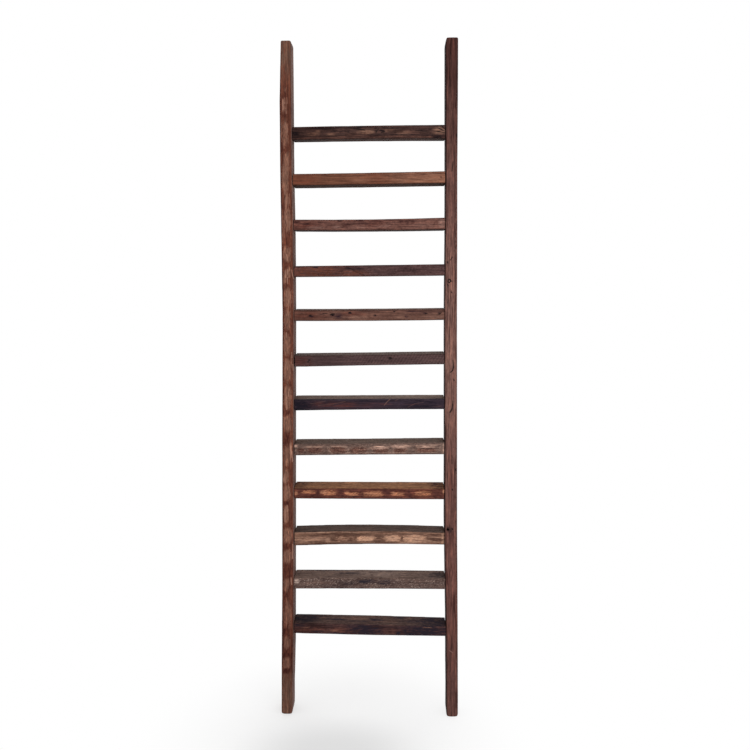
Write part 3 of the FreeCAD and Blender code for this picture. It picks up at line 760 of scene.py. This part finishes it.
def saw_marks(wood):
    """The slanting marks of a saw blade, which fade towards the left end of a rung."""
    run = wood.along * SAW_RUN[0] + wood.across * SAW_RUN[1]
    slant = run + wood.noise("streak") * SAW_UNSTEADINESS
    wave = (slant * (2 * math.pi / SAW_PITCH)).math("SINE")
    broken = wave * wood.noise("speck").between(*SAW_GAPS)
    reach = wood.along.between(*SAW_REACH) * wood.look.saw
    wood.lighten(broken.between(*SAW_WAVE) * reach * 0.3)
    wood.darken((broken * -1).between(*SAW_WAVE) * reach * 0.35)


def cracks_and_scratches(wood):
    """The board's lines, bent a little by the grain. Gives back how deep the cracks are."""
    bend = (wood.noise("streak") - 0.5) * LINE_BEND
    place = [wood.x + bend, wood.z + bend]
    front = (wood.y * -1).between(*LINE_DEPTHS)
    depth = front * 0
    for kind, share in (*SCRATCHES.items(), *CRACKS.items()):
        for x, z, end_x, end_z, width in getattr(wood.board, kind):
            line = wood.paint.line(place, (x, z), (end_x, end_z), width) * front * share
            if kind in CRACKS:
                wood.cover(line, CRACK_BLACK)
                depth = depth.at_least(line)
            else:
                wood.cover(line, wood.tint["pale"])
    return depth


def teak(name):
    """Old teak: grain, streaks and pores that run along the board, and the board's own marks."""
    wood = Wood(name)
    paint, look = wood.paint, wood.look
    flank = paint.attribute("flank")
    ground(wood, flank)
    if wood.board.hollow:
        adze_hollows(wood)
    wood.cover(wood.patches("pale"), wood.tint["pale"])
    wood.lay(WEATHERING)
    if look.fleck:
        flecks(wood, flank)
    if look.saw:
        saw_marks(wood)
    grain = wood.lay(GRAIN)

    blotch, fine = wood.noise("blotch"), wood.noise("fine")
    spotted = blotch.between(*SPOTTED) * 0.9 + 0.5
    stain = (paint.attribute("dark") * spotted * wood.ragged).at_most(1)
    wood.cover(stain, wood.tint["dark"])
    # Painted shade: the shade marks darken every side evenly
    wood.darken(paint.attribute("dim"))
    # A darker band along the arrises
    wood.darken(paint.attribute("arris") * 0.75)
    # Painted shade on the undersides: a near black share of the dark tint
    underside_shade_tint = tuple(channel * UNDERSIDE_SHADE_SHARE for channel in wood.tint["dark"])
    wood.cover(paint.attribute("under") * look.under, underside_shade_tint)
    cracks = cracks_and_scratches(wood)
    # Painted shade: the inside of each nail hole turns near black
    wood.cover(paint.attribute("hole_shade"), HOLE_SHADE_BLACK)

    raised = blotch * 0.8 - grain["dark grain"] * 0.35 - grain["dark hairs"] * 0.3
    height = raised - fine * 0.5 - grain["pores"] * 0.4 - cracks
    paint.surface(
        Base_Color=wood.colour, Roughness=0.66 + 0.2 * fine + 0.1 * stain,
        Normal=paint.bump(height, strength=0.6, distance=0.7 * MM), Specular_IOR_Level=0.08,
    )
    return wood.material


def modify(board, name, kind, **settings):
    """Apply a modifier with these settings to a board."""
    bpy.context.view_layer.objects.active = board
    modifier = board.modifiers.new(name, kind)
    for key, value in settings.items():
        setattr(modifier, key, value)
    bpy.ops.object.modifier_apply(modifier=modifier.name)


def wear_in(board, pattern, bump_size, long_axis, depth):
    """Push the surface in, by up to a depth, with bumps of a size across and along the board."""
    across, along = bump_size
    bpy.ops.object.empty_add()
    empty = bpy.context.object
    empty.scale = [along if axis == long_axis else across for axis in range(3)]
    bpy.context.view_layer.update()
    texture = bpy.data.textures.new(pattern, "CLOUDS")
    texture.noise_scale = 0.5
    texture.noise_depth = 2
    modify(
        board, pattern, "DISPLACE", texture=texture, texture_coords="OBJECT",
        texture_coords_object=empty, mid_level=1.0, strength=depth,
    )
    bpy.data.objects.remove(empty)


def fine_copy(name, step, softening):
    """A copy of a CAD board with an even, fine mesh and slightly softened arrises."""
    bpy.ops.object.select_all(action="DESELECT")
    board = bpy.data.objects.new(f"{name}_weathered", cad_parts[name].data.copy())
    bpy.context.scene.collection.objects.link(board)
    board.select_set(True)
    bpy.context.view_layer.objects.active = board
    bpy.ops.object.mode_set(mode="EDIT")
    bpy.ops.mesh.select_all(action="SELECT")
    bpy.ops.mesh.remove_doubles(threshold=0.001 * MM)
    bpy.ops.object.mode_set(mode="OBJECT")
    modify(board, "even mesh", "REMESH", mode="VOXEL", voxel_size=step)
    modify(board, "soft arrises", "SMOOTH", factor=0.5, iterations=softening)
    return board


def front_plane(name):
    """A point on a CAD board's front face and the face's normal, from its largest triangle."""
    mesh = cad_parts[name].data
    front = [polygon for polygon in mesh.polygons if polygon.normal.y < -FLAT]
    largest = max(front, key=lambda polygon: polygon.area)
    return np.array(largest.center), np.array(largest.normal)


def face_marks(marks, along, across, length, height):
    """How strongly a list of marks, each a blunt oval, covers each point, from 0 to 1."""
    cover = np.zeros(len(along))
    for at_along, at_across, mark_length, mark_height, strength in marks:
        run = np.abs(along - at_along) * length / (mark_length * MM / 2)
        rise = np.abs(across - at_across) * height / (mark_height * MM / 2)
        distance = (run ** BLUNTNESS + rise ** BLUNTNESS) ** (1 / BLUNTNESS)
        cover = np.maximum(cover, strength * np.clip(MARK_END - distance, 0, 1))
    return cover


def by_slices(along, values, pick):
    """A value for each point: what is picked from the values in its slice across the board."""
    slices = np.clip((along * SLICES).astype(int), 0, SLICES - 1)
    picked = [pick(values[slices == i]) if (slices == i).any() else np.nan for i in range(SLICES)]
    middles = (np.arange(SLICES) + 0.5) / SLICES
    known = ~np.isnan(picked)
    return np.interp(along, middles[known], np.array(picked)[known])


def edge_gaps(along, wide, chosen):
    """How far each point is from the lower and the upper edge of the board's chosen face."""
    on_face = np.where(chosen, wide, np.nan)
    return wide - by_slices(along, on_face, np.nanmin), by_slices(along, on_face, np.nanmax) - wide


def vectors(items, key):
    """A vector of each item, such as the place of each vertex, as the rows of an array."""
    values = np.empty(len(items) * 3)
    items.foreach_get(key, values)
    return values.reshape(-1, 3)


class Surface:
    """Where each point of a board's fine mesh lies on the board."""

    def __init__(self, mesh, name, tenon):
        points = vectors(mesh.vertices, "co")
        self.normals = vectors(mesh.vertex_normals, "vector")
        long_axis, wide_axis = (2, 0) if name in RAILS else (0, 2)
        hidden = 0 if name in RAILS else tenon
        start = points[:, long_axis].min() + hidden
        end = points[:, long_axis].max() - hidden
        self.along = (points[:, long_axis] - start) / (end - start)

        origin, normal = front_plane(name)
        facing = self.normals @ normal > FACING
        backing = self.normals[:, 1] > FACING
        self.down, self.up = edge_gaps(self.along, points[:, wide_axis], facing)
        self.back_down, self.back_up = edge_gaps(self.along, points[:, wide_axis], backing)
        self.across = self.down / (self.down + self.up)
        if name == "rail_right":
            self.across = 1 - self.across

        depth = (points - origin) @ -normal
        self.on_front = facing & (depth < FRONT_SKIN)
        front_depth = np.where(facing, depth, np.nan)
        self.depth = depth - by_slices(
            self.along, front_depth, lambda depths: np.nanpercentile(depths, FACE_PERCENTILE)
        )
        self.length = end - start
        self.height = np.median(self.down + self.up)
        self.thickness = np.ptp(points[:, 1])
        self.back_share = (points[:, 1] - points[:, 1].min()) / self.thickness


def mark_channels(surface, board):
    """How strongly the board's marks of each kind cover each point."""
    face = (surface.length, surface.height)
    channels = {
        kind: face_marks(getattr(board, kind), surface.along, surface.across, *face)
        * surface.on_front
        for kind in ("dark", "pale", "warm", "hollow")
    }
    on_top = surface.normals[:, 2] > FACING_UP
    for kind, marks in (("dark", board.top_dark), ("pale", board.top_pale)):
        cover = face_marks(
            marks, surface.along, surface.back_share, surface.length, surface.thickness
        )
        channels[kind] = np.maximum(channels[kind], cover * on_top)
    # Painted shade lies on every side, not only on the front
    channels["dim"] = face_marks(board.dim, surface.along, surface.across.clip(0, 1), *face)
    return channels


def turned(share, steepness, level):
    """How far a surface has turned to a side, from 0 to 1, by its normal's share towards it."""
    return np.clip(share * steepness - level, 0, 1)


def side_channels(surface, name, arris):
    """How far each point lies in a nail hole or underneath, where shade is painted, on an arris, or
    on the flank.
    """
    look = BOARDS[name].look
    depth, from_back = surface.depth, surface.depth.max() - surface.depth
    lower, upper, lower_back, upper_back = (
        np.clip(1 - np.maximum(edge_gap, face_gap) / arris, 0, 1)
        for edge_gap, face_gap in (
            (surface.down, depth), (surface.up, depth),
            (surface.back_down, from_back), (surface.back_up, from_back),
        )
    )
    in_hole = (np.minimum(surface.down, surface.up) > HOLE_INSET) & (depth < HOLE_END)
    sideways, upwards = surface.normals[:, 0], surface.normals[:, 2]
    # Where the flank's colour, partly painted shade, is laid
    if name in RAILS:
        flank = turned(sideways if name == "rail_left" else -sideways, *RAIL_TURN)
        under = np.zeros(len(depth))
    else:
        # A rung's underside takes painted shade
        flank, under = turned(upwards, *RUNG_TURN), turned(-upwards, *RUNG_TURN)
    return {
        "hole_shade": np.clip((depth - HOLE_START) / HOLE_FADE, 0, 1) * in_hole,
        "arris": np.max([lower, upper * (1 - look.rubbed), lower_back, upper_back], axis=0),
        "flank": flank * np.clip((depth / MM - look.over) / FLANK_FADE + 1, 0, 1),
        "under": under,
    }


def paint_channels(mesh, name, sizes):
    """Store on each point of a board where its marks, hollows, holes, arrises, flank and painted
    shade underneath are.
    """
    surface = Surface(mesh, name, sizes.tenon)
    channels = mark_channels(surface, BOARDS[name])
    channels.update(side_channels(surface, name, sizes.arris))
    for channel, values in channels.items():
        layer = mesh.attributes.new(channel, "FLOAT", "POINT")
        layer.data.foreach_set("value", values.astype(np.float32))


def weather(name, step, softening):
    """Dress one board: a fine copy of its CAD node, painted, worn and given its own teak."""
    sizes = bpy.context.scene.ladder_sizes
    board = fine_copy(name, step, softening)
    paint_channels(board.data, name, sizes)
    long_axis = 2 if name in RAILS else 0
    wear_in(board, "slow waves", WAVES, long_axis, sizes.unevenness)
    wear_in(board, "raised grain", RAISED_GRAIN, long_axis, sizes.roughness)
    bpy.ops.object.shade_smooth()
    board.data.materials.clear()
    board.data.materials.append(teak(name))
    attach(board, "root")
    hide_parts(name)


def plug_wood():
    """End-grain teak for the plugs: small rings and pores on a brown ground."""
    material = bpy.data.materials.new("plug end grain")
    paint = Paint(material)
    place = paint.object_place()
    pore = paint.noise(place, (3, 0.5, 0.5), detail=1).between(0.55, 0.7)
    ring = paint.noise(place, (6, 1.1, 4)).between(0.4, 0.7)
    colour = paint.mix(ring * 0.6, PLUG_BROWN, PLUG_RING)
    paint.surface(
        Base_Color=paint.mix(pore * 0.7, colour, PLUG_PORE), Roughness=0.5 + 0.2 * ring,
        Normal=paint.bump(1 - pore, strength=0.4, distance=0.3 * MM),
    )
    return material


def screw_steel():
    """Zinc-plated steel with fine turning marks."""
    material = bpy.data.materials.new("zinc plated steel")
    paint = Paint(material)
    marks = paint.noise(paint.object_place(), (0.4, 6, 6))
    paint.surface(
        Base_Color=paint.mix(marks, ZINC_DULL, ZINC_BRIGHT),
        Roughness=0.32 + 0.2 * marks, Metallic=1.0,
    )
    return material


class LADDER_OT_rails(bpy.types.Operator):
    """Dress the two rails"""

    bl_idname = "ladder.rails"
    bl_label = "Dress rails"

    def execute(self, context):
        for name in RAILS:
            weather(name, context.scene.ladder_sizes.rail_mesh, softening=6)
        return {"FINISHED"}


class LADDER_OT_rungs(bpy.types.Operator):
    """Dress the rungs"""

    bl_idname = "ladder.rungs"
    bl_label = "Dress rungs"

    def execute(self, context):
        for name in BOARDS:
            if name not in RAILS:
                weather(name, context.scene.ladder_sizes.rung_mesh, softening=3)
        return {"FINISHED"}


class LADDER_OT_fixings(bpy.types.Operator):
    """Give the plugs and screws their finish"""

    bl_idname = "ladder.fixings"
    bl_label = "Finish plugs and screws"

    def execute(self, context):
        finishes = {"plugs": plug_wood(), "screws": screw_steel()}
        for kind, material in finishes.items():
            for side in ("left", "right"):
                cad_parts[f"{kind}_{side}"].material_slots[0].material = material
        return {"FINISHED"}


def seen_directly(paint):
    """1 for what the camera sees, itself or in a gloss or through glass, and 0 for other light."""
    rays = [
        paint.node("ShaderNodeLightPath", output=name)
        for name in ("Is Camera Ray", "Is Glossy Ray", "Is Transmission Ray")
    ]
    return rays[0].at_least(rays[1]).at_least(rays[2])


def beyond(place, middle, stretch, reach):
    """0 in the middle of a round patch of the floor and 1 outside it."""
    gaps = [(part - at) * factor for part, at, factor in zip(place, middle, stretch)]
    distance = (gaps[0] * gaps[0] + gaps[1] * gaps[1]).math("SQRT")
    return distance.between(*reach)


def floor_paint(colour):
    """A pale floor, softly shaded in front of the ladder, that fades into the white surround."""
    material = bpy.data.materials.new("pale floor")
    paint = Paint(material)
    place = paint.object_place()
    shaded = 1 - beyond(place, **SOFT_SHADE)
    grain = paint.noise(place, (60, 60, 60))
    ground = paint.mix(grain, colour, tuple(channel * 0.985 for channel in colour))
    paint.surface(
        Base_Color=paint.mix(shaded * SHADE_DEPTH, ground, (0, 0, 0)), Roughness=0.8 + 0.1 * grain
    )
    white = paint.node("ShaderNodeEmission", None, {"Color": (1, 1, 1, 1), "Strength": 1.0})
    whiteness = (beyond(place, **POOL) * 0.5 + 0.5) * seen_directly(paint)
    faded = paint.node(
        "ShaderNodeMixShader", None,
        {0: whiteness, 1: Value(paint, paint.shader.outputs[0]), 2: white},
    )
    paint.feed(paint.tree.nodes["Material Output"].inputs["Surface"], faded)
    return material


def lay_floor(colour):
    """The floor, wide enough to fill the view from every side."""
    bpy.ops.object.select_all(action="DESELECT")
    bpy.ops.mesh.primitive_plane_add(size=FLOOR_WIDTH)
    floor = bpy.context.object
    floor.name = "floor"
    floor.data.materials.append(floor_paint(colour))


def light_surround(scene, strength):
    """White all round for the camera, and an even light of this strength for everything else."""
    scene.world = scene.world or bpy.data.worlds.new("surround")
    paint = Paint(scene.world)
    brightness = seen_directly(paint) * (1 - strength) + strength
    paint.surface(Color=(1, 1, 1, 1), Strength=brightness)


def hang_key_light(power):
    """A large square light before the ladder, high on the right, aimed at its middle."""
    bpy.ops.object.light_add(type="AREA", location=KEY_PLACE)
    key = bpy.context.object
    key.data.shape = "SQUARE"
    key.data.size = KEY_WIDTH
    key.data.energy = power
    aim = Vector(KEY_AIM) - key.location
    key.rotation_euler = aim.to_track_quat("-Z", "Y").to_euler()


def place_camera(scene, lens):
    """A camera at breast height before the ladder, a little to the right and dipped."""
    bpy.ops.object.camera_add(
        location=CAMERA_PLACE,
        rotation=(math.radians(90 - CAMERA_DIP), 0, math.radians(CAMERA_TURN)),
    )
    scene.camera = bpy.context.object
    camera = scene.camera.data
    camera.lens = lens
    camera.sensor_width = SENSOR_WIDTH
    camera.shift_y = CAMERA_SHIFT


class LADDER_OT_stage(bpy.types.Operator):
    """Set up the floor, the light and the camera"""

    bl_idname = "ladder.stage"
    bl_label = "Set the stage"

    def execute(self, context):
        stage = context.scene.ladder_stage
        lay_floor(tuple(stage.floor))
        light_surround(context.scene, stage.surround)
        hang_key_light(stage.key)
        place_camera(context.scene, stage.lens)
        context.scene.view_settings.view_transform = "Standard"
        return {"FINISHED"}


class LADDER_PT_panel(bpy.types.Panel):
    """The ladder's sizes and the steps that dress it"""

    bl_idname = "LADDER_PT_panel"
    bl_label = "Teak ladder"
    bl_space_type = "VIEW_3D"
    bl_region_type = "UI"
    bl_category = "Ladder"

    def draw(self, context):
        for group in (context.scene.ladder_sizes, context.scene.ladder_stage):
            for name in type(group).__annotations__:
                self.layout.prop(group, name)
        for operator in OPERATORS:
            self.layout.operator(operator.bl_idname)


OPERATORS = (LADDER_OT_rails, LADDER_OT_rungs, LADDER_OT_fixings, LADDER_OT_stage)
GROUPS = {"ladder_sizes": LadderSizes, "ladder_colours": LadderColours, "ladder_stage": LadderStage}


def register():
    for cls in (*GROUPS.values(), *OPERATORS, LADDER_PT_panel):
        bpy.utils.register_class(cls)
    for name, group in GROUPS.items():
        setattr(bpy.types.Scene, name, PointerProperty(type=group))


def unregister():
    for name in GROUPS:
        delattr(bpy.types.Scene, name)
    for cls in (LADDER_PT_panel, *reversed(OPERATORS), *reversed(list(GROUPS.values()))):
        bpy.utils.unregister_class(cls)


def main():
    register()
    bpy.ops.ladder.rails()
    bpy.ops.ladder.rungs()
    bpy.ops.ladder.fixings()
    bpy.ops.ladder.stage()


if __name__ == "__main__":
    main()
